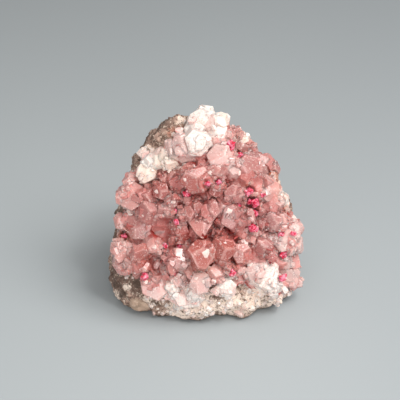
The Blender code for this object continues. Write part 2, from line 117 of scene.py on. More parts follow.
def placed(data, name):
    """A new object in the scene with this mesh, camera or light."""
    obj = bpy.data.objects.new(name, data)
    bpy.context.scene.collection.objects.link(obj)
    return obj


def as_object(bm, name):
    """A new object with this bmesh as its mesh."""
    mesh = bpy.data.meshes.new(name)
    bm.to_mesh(mesh)
    bm.free()
    return placed(mesh, name)


lens = bpy.data.cameras.new("camera")
lens.lens = LENS_MM
lens.sensor_width = SENSOR_MM
camera = placed(lens, "camera")
camera.location = AIM + OUT_OF_FACE * CAMERA_AWAY
camera.rotation_euler = (math.pi / 2 - FACE_LEAN, 0, 0)
bpy.context.scene.camera = camera
bpy.context.scene.view_settings.view_transform = "Standard"

floor_bm = bmesh.new()
bmesh.ops.create_grid(floor_bm, x_segments=2, y_segments=2, size=FLOOR_SIDE / 2)
floor = as_object(floor_bm, "floor")


def soft_light(name, place_mm, side_mm, watts, tint):
    """A square light that faces the middle of the specimen."""
    light = bpy.data.lights.new(name, "AREA")
    light.size = side_mm * MM
    light.energy = watts
    light.color = tint
    lamp = placed(light, name)
    lamp.location = Vector(place_mm) * MM
    lamp.rotation_euler = (lamp.location - FACE_MIDDLE).to_track_quat("Z", "Y").to_euler()


WARM_WHITE = (1.0, 0.97, 0.95)
WORLD_STRENGTH = 0.65

soft_light("key_light", (260, -90, 420), 340, 2.4, (1.0, 0.97, 0.94))
soft_light("fill_light", (-40, -440, 60), 400, 1.95, WARM_WHITE)
soft_light("glint_light", (150, -160, 400), 60, 0.35, (1.0, 0.98, 0.95))

world = bpy.data.worlds.new("studio")
world.use_nodes = True
sky = world.node_tree.nodes["Background"]
sky.inputs["Color"].default_value = (*WARM_WHITE, 1)
sky.inputs["Strength"].default_value = WORLD_STRENGTH
bpy.context.scene.world = world
print("camera", round(camera.location.length, 3), "m away,", len(bpy.data.lights), "lights")

# %% [markdown]
# ## Finishes as expressions
# A finish is easier to read as sums and products than as boxes and wires. `Value` wraps one
# node's output, and its operators add Math nodes. `Finish` holds a material, and its `node`
# method makes every other node from its type, its settings and its inputs.
# %% Finishes as expressions


def colour(red, green, blue):
    """A colour given as 0 to 255 on a screen, in the linear values that nodes take."""
    linear = [((part / 255 + 0.055) / 1.055) ** 2.4 for part in (red, green, blue)]
    return (*linear, 1.0)


def rgb(tint):
    """The same from a row of red, green and blue, without the alpha."""
    return colour(*tint)[:3]


class Value:
    """A number or colour that varies over a surface."""

    def __init__(self, finish, socket):
        self.finish = finish
        self.socket = socket

    def _math(self, operation, first, second):
        return self.finish.node("ShaderNodeMath", {"operation": operation}, {0: first, 1: second})

    def __add__(self, other):
        return self._math("ADD", self, other)

    __radd__ = __add__

    def __sub__(self, other):
        return self._math("SUBTRACT", self, other)

    def __rsub__(self, other):
        return self._math("SUBTRACT", other, self)

    def __mul__(self, other):
        return self._math("MULTIPLY", self, other)

    __rmul__ = __mul__


class Finish:
    """A material under construction, with helpers for the nodes that it is made of."""

    def __init__(self, name):
        self.material = bpy.data.materials.new(name)
        self.material.use_nodes = True
        self.tree = self.material.node_tree
        self.shader = self.tree.nodes["Principled BSDF"]
        self.place = self.node("ShaderNodeTexCoord", {}, {}, "Object")

    def feed(self, socket, given):
        """Links an input socket to a Value, or sets it to a plain number or colour."""
        if isinstance(given, Value):
            self.tree.links.new(given.socket, socket)
        else:
            socket.default_value = given

    def node(self, kind, settings, inputs, output=0):
        """A node with these settings and inputs, as the Value of one of its outputs."""
        made = self.tree.nodes.new(kind)
        for name, setting in settings.items():
            setattr(made, name, setting)
        for name, given in inputs.items():
            self.feed(made.inputs[name], given)
        return Value(self, made.outputs[output])

    def attribute(self, name, output="Fac"):
        """A number stored in each point of the mesh, or a colour with the output Color."""
        return self.node("ShaderNodeAttribute", {"attribute_name": name}, {}, output)

    def along(self, axis):
        """The distance along X, Y or Z of the object."""
        return self.node("ShaderNodeSeparateXYZ", {}, {"Vector": self.place}, axis)

    def grain(self, size_mm, detail=3.0, roughness=0.55):
        """Cloudy noise with spots of about this size, from 0 to 1."""
        scale = 1 / (size_mm * MM)
        inputs = {"Vector": self.place, "Scale": scale, "Detail": detail, "Roughness": roughness}
        return self.node("ShaderNodeTexNoise", {}, inputs)

    def step(self, value, low, high):
        """0 at low and 1 at high, whichever is larger, with a soft step between."""
        settings = {"interpolation_type": "SMOOTHSTEP"}
        return self.node("ShaderNodeMapRange", settings, {"Value": value, 1: low, 2: high})

    def mix(self, first, second, share, blend="MIX"):
        """A colour that goes from the first to the second as share goes from 0 to 1."""
        inputs = {"Factor": share, "A": first, "B": second}
        return self.node("ShaderNodeMix", {"data_type": "RGBA", "blend_type": blend}, inputs, 2)

    def specks(self, size_mm, detail, roughness, low, high):
        """Soft-edged specks: a step from low to high of noise with spots of this size."""
        return self.step(self.grain(size_mm, detail, roughness), low, high)

    def bump(self, height, depth_mm, strength):
        """Small relief, as a normal, where height goes from 0 to 1 over this distance."""
        inputs = {"Height": height, "Distance": depth_mm * MM, "Strength": strength}
        return self.node("ShaderNodeBump", {}, inputs)

    def set(self, **sockets):
        """Sets or links the shader's own sockets, named with _ for a space."""
        for name, given in sockets.items():
            self.feed(self.shader.inputs[name.replace("_", " ")], given)
        return self.material


print("helpers", [name for name in vars(Finish) if not name.startswith("_")])

# %% [markdown]
# ## The floor's paper
# The floor is matt grey paper with painted shade that darkens it a little towards the back and
# the right, where the light falls off. Each change is a soft step along one of the floor's own
# axes, so no picture is needed.
# %% The floor's paper
PAPER, PAPER_SHADED_BACK, PAPER_SHADED_RIGHT = colour(153, 160, 163), colour(125, 131, 134), colour(129, 135, 139)
BACK_SHADE_FADE = (-0.05, 0.35)
RIGHT_SHADE_FADE = (0.0, 0.1)
RIGHT_SHADE_MOST = 0.5

paper = Finish("floor_paper")
# The darker back and right of the paper are painted shade, where the light falls off.
right_shade_share = RIGHT_SHADE_MOST * paper.step(paper.along("X"), *RIGHT_SHADE_FADE)
tone = paper.mix(PAPER, PAPER_SHADED_BACK, paper.step(paper.along("Y"), *BACK_SHADE_FADE))
tone = paper.mix(tone, PAPER_SHADED_RIGHT, right_shade_share)
floor.data.materials.append(paper.set(Base_Color=tone, Roughness=0.9))
print(paper.material.name, len(paper.tree.nodes), "nodes")

# %% [markdown]
# ## Copies of the solids
# A CAD solid comes as loose triangles, so its copy is merged first. A Remesh modifier then covers
# it with small even faces, which gives the fine relief something to move. Subdividing would also
# add faces, but uneven ones, crowded where the triangles were thin. The solids themselves keep their
# shape, and each is hidden once a finished piece stands for it.
# %% Copies of the solids
WELD = 0.005 * MM


def gathered(*objects):
    """The meshes of these objects in one bmesh."""
    bm = bmesh.new()
    for obj in objects:
        bm.from_mesh(obj.data)
    return bm


def copied_solid(node):
    """A merged copy of a CAD solid."""
    bm = gathered(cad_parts[node])
    bmesh.ops.remove_doubles(bm, verts=bm.verts, dist=WELD)
    return bm


def refaced(bm, grid_mm):
    """The same closed form covered with even faces of this size."""
    rough = as_object(bm, "rough")
    remesh = rough.modifiers.new("even_faces", "REMESH")
    remesh.mode = "VOXEL"
    remesh.voxel_size = grid_mm * MM
    even = bmesh.new()
    even.from_object(rough, bpy.context.evaluated_depsgraph_get())
    bpy.data.objects.remove(rough)
    return even


def dressed(obj, slot, finish, *nodes):
    """Gives a piece its finish, hangs it from the root and hides the solids it stands for; slot is not
    used.
    """
    obj.data.materials.append(finish)
    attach(obj, "root")
    if nodes:
        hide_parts(*nodes)
    print(obj.name, len(obj.data.polygons), "faces")
    return obj


def add_attribute(mesh, name, values):
    """Stores a number in each point of a mesh."""
    mesh.attributes.new(name, "FLOAT", "POINT").data.foreach_set("value", values)


print(len(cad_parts), "solids to dress")

# %% [markdown]
# ## How shut in a spot is, for painted shade
# Light reaches the crystals' tips and hardly gets between them. A few rays cast from a spot tell
# how shut in it is, and the finish paints the spot darker and redder by it: painted shade, laid
# over the shadows that the renderer casts. Six rays are enough.
# %% How deep a spot lies
OPEN_REACH = 4.0 * MM
RAY_START = 0.1 * MM
FAN_TURNS = (0.3, 1.56, 2.81, 4.07, 5.33)
FAN_ASIDE, FAN_UP = 0.8, 0.6
RAY_FAN = [Vector((0, 0, 1))] + [
    Vector((math.cos(turn) * FAN_ASIDE, math.sin(turn) * FAN_ASIDE, FAN_UP)) for turn in FAN_TURNS
]


def shut_in(tree, point, normal):
    """The share of the rays from a spot that soon meet something, 0 in the open."""
    to_spot = normal.to_track_quat("Z", "Y").to_matrix()
    start = point + normal * RAY_START
    shut = 0.0
    for ray in RAY_FAN:
        distance = tree.ray_cast(start, to_spot @ ray, OPEN_REACH)[3]
        if distance is not None:
            shut += 1 - distance / OPEN_REACH
    return shut / len(RAY_FAN)


print(len(RAY_FAN), "rays from each spot, at most", OPEN_REACH / MM, "mm long")

# %% [markdown]
# ## Where each tint of calcite grew
# The crust isn't one pink. Its top and its lower lip are white and frosted, its hollow is a deep
# rose, and patches of salmon and mauve lie between. Each large crystal is listed by its tint, as
# its place across and up the face, its width and its habit. Chance alone would put these patches
# anywhere, so the large crystals are listed one by one, and everything smaller takes after them.
# %% Where each tint of calcite grew
TINTS = {
    "bright": (254, 236, 229),
    "white": (246, 218, 211),
    "cream": (250, 225, 208),
    "pale": (248, 204, 198),
    "blush": (240, 175, 168),
    "rose": (207, 131, 125),
    "deep": (192, 100, 93),
    "salmon": (197, 107, 97),
    "mauve": (200, 130, 126),
    "dusk": (202, 138, 133),
}
NAIL, BLOCK, TOOTH = "nailhead", "block", "dogtooth"
LARGE_CRYSTALS = {
    "bright": [
        (-0.4, 27.4, 6.4, BLOCK), (-0.6, 30.2, 3.6, BLOCK), (1.6, 23.6, 6.2, BLOCK),
        (-17.4, 15.6, 4.4, BLOCK), (5.6, -21.6, 4.8, BLOCK), (-6.6, -23.6, 6.8, BLOCK),
        (-11.6, -23.4, 5.4, NAIL),
    ],
    "white": [
        (-4, 24.2, 4.4, NAIL), (-2.6, 19.4, 6, NAIL), (17.6, -18, 6.8, BLOCK),
        (-9.6, -20.6, 3.6, BLOCK), (20.2, -21.6, 4, BLOCK), (-3, -24.4, 4.2, BLOCK),
    ],
    "cream": [
        (4.6, 27, 4, NAIL), (10.4, 21.4, 3.2, NAIL), (-12.8, 16.6, 3.2, NAIL),
        (-14.8, 14.4, 3.6, NAIL), (-11, 13.6, 3.6, BLOCK), (-17.4, 11.4, 4.6, NAIL),
        (22.4, 4.6, 3.6, BLOCK), (14.6, -22.6, 4.6, BLOCK),
    ],
    "pale": [
        (5.8, 21.8, 5, BLOCK), (-6.6, 17.6, 6.2, BLOCK), (-10.4, 18, 3.2, BLOCK),
        (4.2, 15, 6.2, NAIL), (8.4, 13, 3.2, NAIL), (22.4, -8.2, 5.6, NAIL), (26.4, -4.4, 4.6, NAIL),
        (26.8, -9.4, 4.2, BLOCK), (23.4, -19.6, 5.2, NAIL), (19.6, -24, 4.4, NAIL),
        (12, -20.4, 4.4, NAIL), (-2.2, -20.2, 5, NAIL), (23.4, -14.2, 4.2, NAIL),
        (13.8, -16.8, 4.2, NAIL),
    ],
    "blush": [
        (-26.2, -9.2, 4, BLOCK), (-23.6, -11, 4.8, NAIL), (-22.2, -15.6, 4.2, BLOCK),
        (-25, -16.4, 4, NAIL), (-22.4, 10, 3.8, BLOCK), (-21.8, 5.4, 6.4, NAIL),
        (12.4, -8.2, 3, TOOTH), (-15, -9, 4, BLOCK), (-25.6, -2, 3.8, BLOCK),
        (-21.8, -0.4, 2.6, TOOTH), (17.8, 6.6, 6, NAIL), (-14.4, -20, 6.8, BLOCK),
        (-9, -19.2, 4, BLOCK), (22.4, -2.8, 4, BLOCK), (2.6, -18.2, 4.2, BLOCK),
    ],
    "rose": [
        (-9.4, 3.2, 3.2, NAIL), (-11.4, 0.2, 4.2, NAIL), (-6.6, -0.6, 3.8, NAIL),
        (-17.2, 5, 4.2, BLOCK), (-16.4, 0, 5.4, BLOCK), (-20.6, -4.4, 6.4, NAIL),
        (2.4, 10.2, 4.8, BLOCK), (0, 0.2, 5, NAIL), (11.6, 10.2, 7.4, BLOCK),
        (-0.6, 13.2, 4.2, BLOCK), (-8.4, -12.8, 5.2, NAIL),
    ],
    "deep": [
        (-12.6, 9.8, 4.8, TOOTH), (-8.4, -6, 5.4, BLOCK), (2.8, 6.6, 3.4, NAIL),
        (-7.8, 8.8, 5.6, BLOCK), (-12.8, 5.8, 4, NAIL), (-4.4, 2, 4, BLOCK),
        (3.4, -5.6, 2.8, TOOTH),
    ],
    "dusk": [
        (13, 18.4, 5.4, BLOCK), (19.6, 12.4, 4, BLOCK), (12.6, 14.6, 4, BLOCK),
        (16.4, 13.4, 6, NAIL), (10.4, 19, 4, NAIL),
    ],
    "salmon": [
        (-18, -14.4, 5.2, NAIL), (-2.4, 9, 6.4, NAIL), (4.8, -9.8, 6, BLOCK),
        (-0.8, -11, 7, NAIL), (10, -11.6, 4.4, NAIL), (5.2, -14, 3.2, NAIL),
    ],
    "mauve": [
        (9.4, 24, 4, BLOCK), (-12.2, -13.2, 3.4, TOOTH), (4.4, 2, 5, BLOCK),
        (7.4, 4.8, 4.4, NAIL), (18.4, 2, 5.6, BLOCK), (19.4, -3, 4.4, NAIL), (16.2, -3, 3.4, TOOTH),
        (9.2, -1.8, 6.6, BLOCK), (16.8, -9.8, 6.4, TOOTH),
    ],
}
print(sum(len(rows) for rows in LARGE_CRYSTALS.values()), "large crystals in", len(TINTS), "tints")

# %% [markdown]
# ## The tint at any place
# A small crystal has nearly the colour of the large ones round it, because they grew from the same
# water. So the tint at a place is a mean of the listed tints, weighted towards the nearest, with
# rust and grey stains mixed in. Cells of the face are worked out once and kept, which saves time.
# %% The tint at any place
# Dark gaps between crystals, as painted shade: each (across, up, radius).
SHADED_GAPS = [
    (-20, 0.3, 1.2), (-15.1, -5.5, 1.6), (-15.4, 7, 1.2), (-5.5, -5.8, 1.2), (0.3, 3.2, 1.2),
    (5.5, -5.2, 1.6), (-0.3, 15.1, 1), (20, -14.5, 1.4), (-2, -7.6, 1.6), (0.8, -7.2, 1.2),
]
STAINS = {
    (184, 104, 56): [
        (-5, -16.6, 1.4), (-2.4, -17.2, 1.6), (0.4, -17, 1.5), (-25.4, -6.4, 1.8),
        (-23, -7.2, 1.6), (11.3, 7.8, 0.8), (22.3, 7.4, 2.2), (20, 8.6, 1.4),
    ],
    (200, 190, 184): [(-6.8, -16.4, 1.9), (-8.4, -18.6, 1.4), (9.4, -22.4, 2), (-22.6, 2.2, 1.6)],
}
FROSTED = {"bright": 0.8, "white": 0.8, "cream": 0.5}
MOSTLY_FROSTED = 0.5
TINT_SPOTS = [
    (x, y, rgb(TINTS[tint]), tint in FROSTED)
    for tint, rows in LARGE_CRYSTALS.items() for x, y, _, _ in rows
]
TINT_SPREAD = 2.2
TINT_CELL = 0.4
STAIN_SHARE = 0.8
FAR_WEIGHT = 1e-4
TINY = 1e-9


def blended(first, second, share):
    """A colour between two, given as lists of numbers."""
    return [a * (1 - share) + b * share for a, b in zip(first, second)]


@functools.cache
def tint_of_cell(column, row):
    """The colour and the frost in one small cell of the face, from the large crystals near it."""
    across, up = column * TINT_CELL, row * TINT_CELL
    total, sums, frost = TINY, [0.0, 0.0, 0.0], 0.0
    for x, y, tint, frosted in TINT_SPOTS:
        away = ((across - x) ** 2 + (up - y) ** 2) / TINT_SPREAD**2
        near = math.exp(-away) + FAR_WEIGHT / (1 + away)
        total += near
        sums = [part + near * own for part, own in zip(sums, tint)]
        frost += near * frosted
    tint = [part / total for part in sums]
    for stain, patches in STAINS.items():
        tint = blended(tint, rgb(stain), STAIN_SHARE * patch_share_at(across, up, patches))
    return tint, frost / total


def tint_at(point):
    """The colour and the frost at a point in space."""
    across, up = face_place(point)
    return tint_of_cell(round(across / TINT_CELL), round(up / TINT_CELL))


print("frost in the middle", round(tint_at(FACE_MIDDLE)[1], 2))
print("frost at the top", round(tint_at(FACE_MIDDLE + UP_FACE * 28 * MM)[1], 2))

# %% [markdown]
# ## Crystals cut by planes
# A crystal's faces are planes at fixed angles, so a crystal is cut from a cube as a gem cutter
# would, in calcite's own habits: the blunt nailhead, the block and the steep dogtooth. Listed
# corners would give one shape only, while small changes to the planes make every crystal new. The
# large ones then have their edges bevelled, because no real edge is sharp enough to stay dark.
# %% Crystals cut by planes
HABITS = {
    NAIL: [(27, 0, 3, 0.5), (90, 0, 6, 0.5)],
    BLOCK: [(45, 0, 3, 0.52), (90, 0, 6, 0.5)],
    TOOTH: [(45, 30, 3, 0.62), (68, 18, 3, 0.42), (68, 42, 3, 0.42)],
}
CUBE_SIDE = 1.6
LEAN_CHANCE = 4
TURN_CHANCE = 6
AWAY_CHANCE = (0.82, 1.12)
CORNER_WELD = 0.02
FACET_AREA = 0.02
RIM_SHARE = 0.45


def cut_crystal(habit, draw, bevel=0.0, segments=2):
    """A crystal one unit wide whose tip is on +Z, cut from a cube by its faces' planes.

    Each form is (lean from the axis, turn, how many faces, distance from the middle). A large
    crystal has soft edges, and its attribute tells the middles of its faces from their pale rims,
    which are partly frosted edges and partly a painted highlight.
    """
    bm = bmesh.new()
    bmesh.ops.create_cube(bm, size=CUBE_SIDE)
    for lean, turn, count, away in HABITS[habit]:
        for i in range(count):
            leaned = math.radians(lean + draw.uniform(-LEAN_CHANCE, LEAN_CHANCE))
            turned = turn + 360 * i / count + draw.uniform(-TURN_CHANCE, TURN_CHANCE)
            turned = math.radians(turned)
            flat = Vector((math.cos(turned), math.sin(turned), 0))
            normal = flat * math.sin(leaned) + Vector((0, 0, math.cos(leaned)))
            cut = bmesh.ops.bisect_plane(
                bm, geom=bm.verts[:] + bm.edges[:] + bm.faces[:],
                plane_co=normal * away * draw.uniform(*AWAY_CHANCE), plane_no=normal, clear_outer=True,
            )
            edges = [e for e in cut["geom_cut"] if isinstance(e, bmesh.types.BMEdge)]
            if edges:
                bmesh.ops.contextual_create(bm, geom=edges)
    bmesh.ops.remove_doubles(bm, verts=bm.verts, dist=CORNER_WELD)
    if bevel:
        bmesh.ops.bevel(
            bm, geom=bm.edges[:], offset=bevel, offset_type="OFFSET", segments=segments, profile=0.5,
            affect="EDGES", material=-1, clamp_overlap=True,
        )
    inner = bm.verts.layers.float.new("inner")
    broad = [face for face in bm.faces if bevel and face.calc_area() > FACET_AREA]
    for face in broad:
        rim = RIM_SHARE * 2 * face.calc_area() / face.calc_perimeter()
        bmesh.ops.inset_individual(bm, faces=[face], thickness=rim, use_even_offset=False)
        for vert in face.verts:
            vert[inner] = 1.0
    bmesh.ops.recalc_face_normals(bm, faces=bm.faces)
    mesh = bpy.data.meshes.new("crystal")
    bm.to_mesh(mesh)
    bm.free()
    return mesh


for habit in HABITS:
    sample = cut_crystal(habit, random.Random(0))
    print(habit, len(sample.polygons), "faces")
    bpy.data.meshes.remove(sample)

# %% [markdown]
# ## A druse of crystals
# A druse is a crust of crystals that grew side by side. Thousands of objects would be slow, so its
# crystals are gathered in one mesh. Each point keeps three values for the finish to read: its own
# tint, how frosted it is, and its painted shade, which grows from a crystal's tip to its root and
# where the neighbours shut it in.
# %% A druse of crystals
ROOT_SHADE = 0.7
INNER_SHADE = 0.25
SHUT_SHADE = 0.55
GAP_SHADE = 1.0
NEIGHBOUR_TINT = 0.4
SHUT_IN = (0.1, 0.6)


def add_colours(mesh, tints, frosts, depths):
    """Stores each point's colour, frost and painted shade, which the finish reads."""
    flat = [part for tint in tints for part in (*tint, 1.0)]
    mesh.attributes.new("tint", "FLOAT_COLOR", "POINT").data.foreach_set("color", flat)
    add_attribute(mesh, "frost", frosts)
    add_attribute(mesh, "depth", depths)


class Druse:
    """Many crystals gathered in one mesh, with the colour, frost and painted shade of each point."""

    def __init__(self):
        self.bm = bmesh.new()
        self.tints, self.frosts, self.depths = [], [], []

    def grow(self, pattern, width, length, tip, axis, turn, tint, frost, depth):
        """Adds a crystal whose tip stands at a place. Its painted shade grows from the given value at
        its tip to its root.

        One that would reach below the floor is left out.
        """
        copy = pattern.copy()
        top = max(vert.co.z for vert in copy.vertices)
        bottom = min(vert.co.z for vert in copy.vertices)
        # Painted shade: least at the tip, more on the faces' middles than on their rims, most at the
        # root.
        depths = [
            depth + INNER_SHADE * inner.value + ROOT_SHADE * (top - vert.co.z) / (top - bottom)
            for vert, inner in zip(copy.vertices, copy.attributes["inner"].data)
        ]
        stand = Matrix.Translation(tip) @ axis.to_track_quat("Z", "Y").to_matrix().to_4x4()
        shape = Matrix.Rotation(turn, 4, "Z") @ Matrix.Diagonal((width, width, width * length, 1))
        copy.transform(stand @ shape @ Matrix.Translation((0, 0, -top)))
        if min(vert.co.z for vert in copy.vertices) > 0:
            self.depths += depths
            self.tints += [tint] * len(depths)
            self.frosts += [frost] * len(depths)
            self.bm.from_mesh(copy)
        bpy.data.meshes.remove(copy)

    def shade(self, bed):
        """Adds painted shade to each point by how shut in it is among these crystals and their bed."""
        self.bm.normal_update()
        whole = self.bm.copy()
        whole.from_mesh(bed.data)
        tree = BVHTree.FromBMesh(whole)
        whole.free()
        for i, vert in enumerate(self.bm.verts):
            shut = smooth_step(*SHUT_IN, shut_in(tree, vert.co, vert.normal))
            self.depths[i] += SHUT_SHADE * shut + GAP_SHADE * patch_share(vert.co, SHADED_GAPS)
            self.tints[i] = blended(self.tints[i], tint_at(vert.co)[0], NEIGHBOUR_TINT)

    def finished(self, name, slot, finish, *nodes):
        """The gathered crystals as one finished piece."""
        obj = as_object(self.bm, name)
        add_colours(obj.data, self.tints, self.frosts, self.depths)
        return dressed(obj, slot, finish, *nodes)


print("most a point can deepen:", ROOT_SHADE + INNER_SHADE + SHUT_SHADE + GAP_SHADE)

# %% [markdown]
# ## The crust's bed
# Under the crystals lies massive calcite, which shows only between them. Its form is the crust
# solid, covered with even faces, sunk a little so that the crystals stand out of it, and roughened
# with noise. It stays high round the cobalt-bearing clusters, which would else hang in the air.
# %% The crust's bed
CRUST_GRID = 0.42
BED_SINK = 0.7
BED_RELIEF = 0.12
BED_RELIEF_SIZE = 0.9 * MM
BED_SMOOTHING = 0.5
BED_SHADE, BED_SHUT_SHADE = 0.8, 0.6
BED_TINT = rgb((204, 142, 136))
BED_TINT_SHARE = 0.35
COBALT_FOOT = 1.8

cobalt_nodes = sorted(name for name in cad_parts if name.startswith("cobalt"))
COBALT_PLACES = [(sum(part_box(name), Vector()) / 2) for name in cobalt_nodes]


def near_cobalt(point, room_mm):
    """From 1 at the middle of a cobalt-bearing cluster to 0 this far from all of them."""
    nearest = min((point - place).length for place in COBALT_PLACES)
    return max(0.0, 1 - nearest / (room_mm * MM))


cad_crust = copied_solid("pink_calcite_crust")
cad_tree = BVHTree.FromBMesh(cad_crust)
crust_bm = refaced(cad_crust, CRUST_GRID)
bmesh.ops.smooth_vert(
    crust_bm, verts=crust_bm.verts, factor=BED_SMOOTHING,
    use_axis_x=True, use_axis_y=True, use_axis_z=True,
)
for vert in crust_bm.verts:
    sink = BED_SINK * (1 - smooth_step(0.0, 0.5, near_cobalt(vert.co, COBALT_FOOT * 2)))
    relief = BED_RELIEF * noise.noise(vert.co / BED_RELIEF_SIZE)
    vert.co += vert.normal * (relief - sink) * MM
crust_bm.normal_update()
crust_tree = BVHTree.FromBMesh(crust_bm)
shuts = [shut_in(crust_tree, vert.co, vert.normal) for vert in crust_bm.verts]
# Painted shade of the bed, deeper where it is shut in.
depths = [BED_SHADE + BED_SHUT_SHADE * shut for shut in shuts]
tints, frosts = zip(*[tint_at(vert.co) for vert in crust_bm.verts])
tints = [blended(tint, BED_TINT, BED_TINT_SHARE) for tint in tints]
crust = as_object(crust_bm, "calcite_bed")
crust.data.shade_smooth()
add_colours(crust.data, tints, frosts, depths)
print("bed with", len(crust.data.polygons), "faces, round", len(cobalt_nodes), "clusters")

# %% [markdown]
# ## Calcite finishes
# Clear calcite lets light in and scatters it, so it takes transmission with calcite's index of
# refraction, and some scattering below its surface. Veils, flecks and specks are clouds of noise
# inside it; the white flecks and specks are partly frosted grains and partly painted glints. Rims
# and tips are pale, partly frosted edges and partly painted highlight, and deep spots get a redder
# painted shade. Frosted faces carry a snow of tiny grains, with painted shadow between them. The
# same finish with other values serves the clear, the frosted and the massive calcite.
# %% Calcite finishes
CALCITE_IOR = 1.5
PALE_RIM = colour(255, 226, 218)
VEIL_COLOUR = colour(255, 230, 223)
DUST_AND_GLINT_COLOUR = colour(255, 244, 238)
DARK_SPECK_COLOUR = colour(170, 98, 92)
SNOW, SNOW_SHADOW = colour(254, 240, 233), colour(214, 178, 168)
PAINTED_SHADE_RED = colour(196, 96, 90)


def calcite_finish(name, frosting, roughness, clearness, softness_mm, relief_mm):
    """Calcite that is paler at its crystals' rims, partly as painted highlight, and redder in its
    hollows as painted shade, with veils in it.
    """
    calcite = Finish(name)
    tint = calcite.attribute("tint", "Color")
    depth = calcite.attribute("depth") + 0.5 * (calcite.grain(1.6, 4, 0.6) - 0.5)
    veil = calcite.specks(0.9, 5, 0.7, 0.5, 0.72)
    # Pale rims and tips: partly frosted edges, partly a painted highlight.
    pale = calcite.mix(tint, PALE_RIM, 0.3)
    body = calcite.mix(pale, tint, calcite.step(depth, -0.1, 0.2))
    body = calcite.mix(body, VEIL_COLOUR, 0.2 * veil)
    # White specks: partly frosted grains, partly painted glints.
    dust_and_glints = calcite.specks(0.45, 3, 0.6, 0.54, 0.64)
    flecks_and_glints = calcite.specks(0.7, 2, 0.5, 0.66, 0.7)
    body = calcite.mix(body, DUST_AND_GLINT_COLOUR, 0.28 * dust_and_glints + 0.35 * flecks_and_glints)
    # Darker specks here and there.
    pits = calcite.specks(0.5, 3, 0.6, 0.44, 0.36)
    body = calcite.mix(body, DARK_SPECK_COLOUR, 0.28 * pits)
    ice = calcite.step(calcite.attribute("frost") + 0.4 * calcite.grain(0.8) - 0.2 * depth, 0.55, 0.9)
    shadows = 0.75 * calcite.specks(0.5, 3, 0.6, 0.5, 0.62)
    snow = calcite.mix(SNOW, SNOW_SHADOW, shadows)
    body = calcite.mix(body, snow, frosting * ice)
    # Painted shade: redder and darker where the painted shade is deep.
    redder_shade = calcite.step(depth, 0.45, 1.35) * (1 - 0.65 * ice)
    body = calcite.mix(body, PAINTED_SHADE_RED, redder_shade, "MULTIPLY")
    return calcite.set(
        Base_Color=body,
        Roughness=roughness + 0.2 * ice + 0.2 * veil,
        Normal=calcite.bump(calcite.grain(0.45, 4), relief_mm, 0.8),
        Subsurface_Weight=0.7,
        Subsurface_Radius=(1.0, 0.85, 0.8),
        Subsurface_Scale=softness_mm * MM,
        Transmission_Weight=clearness,
        IOR=CALCITE_IOR,
        Coat_Weight=0.35,
        Coat_Roughness=0.06,
    )


clear_calcite = calcite_finish("pink_calcite", 0.8, 0.15, 0.45, 1.0, 0.1)
frosted_calcite = calcite_finish("frosted_calcite", 0.78, 0.25, 0.25, 0.5, 0.25)
bed_calcite = calcite_finish("massive_calcite", 0.6, 0.4, 0.2, 0.4, 0.2)
dressed(crust, "pink_calcite", bed_calcite, "pink_calcite_crust")

# %% [markdown]
# ## Where a crystal stands
# A listed place is across and up the face, so a line square to the face finds where it meets the
# crust. A crystal points out of the crust there, along a mean of the normals round it, because the
# normal of one triangle alone would tilt it at random. It is then sunk until no corner stands too
# far out of the crust's own outline.
# %% Where a crystal stands
SEED_GRID = 0.01 * MM
INWARDS = -0.2


def met(tree, across, up):
    """Where a line square to the face first meets these forms: (place, normal)."""
    start = FACE_MIDDLE + (ACROSS * across + UP_FACE * up) * MM + OUT_OF_FACE * 100 * MM
    return tree.ray_cast(start, -OUT_OF_FACE)[:2]


def smooth_normal(point, reach_mm):
    """The crust's own slope round a point, from the normals of the faces near it."""
    total = Vector()
    for _, normal, _, _ in cad_tree.find_nearest_range(point, reach_mm * MM):
        total += normal
    return total.normalized()


def surface_spots(bm, spacing_mm):
    """Random spots on a mesh, about one for each square of this spacing: (place, normal, draw).

    Some bmesh operators leave their faces in an order that changes from run to run. So each spot
    has a source of chance of its own, seeded by its place, and the order doesn't matter.
    """
    for face in bm.faces:
        place = face.calc_center_median()
        draw = random.Random(str([round(part / SEED_GRID) for part in place]))
        chance = face.calc_area() / (spacing_mm * MM) ** 2
        while draw.random() < chance:
            chance -= 1
            yield place, face.normal.copy(), draw


def stands_out(pattern, width, length, tip, axis, lowest=-1.0):
    """How far a crystal's corners above this height of its pattern stand out of the CAD crust."""
    to_axis = axis.to_track_quat("Z", "Y").to_matrix()
    corners = [vert.co for vert in pattern.vertices]
    top = max(corner.z for corner in corners)
    out = 0.0
    for x, y, z in [corner for corner in corners if corner.z >= lowest]:
        corner = tip + to_axis @ Vector((x, y, (z - top) * length)) * width
        place, normal = cad_tree.find_nearest(corner)[:2]
        away = corner - place
        if away.dot(normal) > INWARDS * away.length:
            out = max(out, away.length)
    return out


def settle(pattern, width, length, tip, axis, most_mm):
    """Moves a crystal's tip down its axis until its upper half stands no further out than this."""
    return tip - axis * max(0.0, stands_out(pattern, width, length, tip, axis, 0.0) - most_mm * MM)


middle_place, _ = met(cad_tree, 0, 0)
print("the face's middle is met at", [round(part / MM, 1) for part in middle_place], "mm")

# %% [markdown]
# ## Large crystals
# Each listed crystal is a small group: the main crystal and one to three younger ones leaning out
# from its side, as they do in real druses. The frosted ones go in a mesh of their own, since they
# have another finish. A main crystal that would stand out past the crust's edge is shortened.
# %% Large crystals
SLOPE_REACH = 3.0
TURNED_OUT = 0.6
LIP = (-16, -22)
TIP_RISE = 0.5
YOUNG_COUNTS = [1, 1, 2, 3]
MAIN_WIDTH, YOUNG_WIDTH = 1.2, (0.35, 0.65)
YOUNG_ASIDE, YOUNG_BELOW = (0.35, 0.55), (0.1, 0.3)
YOUNG_ROOM = 1.6
TILT = (-0.05, 0.25)
PALER = (0, 0.12)
SOFT_EDGE = 0.045
LARGE_LENGTH, SHORTEST, SHORTENED = (0.85, 1.05), 0.4, 0.9
TOP_OUT = 0.75
MOST_OUT = 2.2 * MM
WHITE = rgb(TINTS["white"])
TIP_SHADE = -0.1

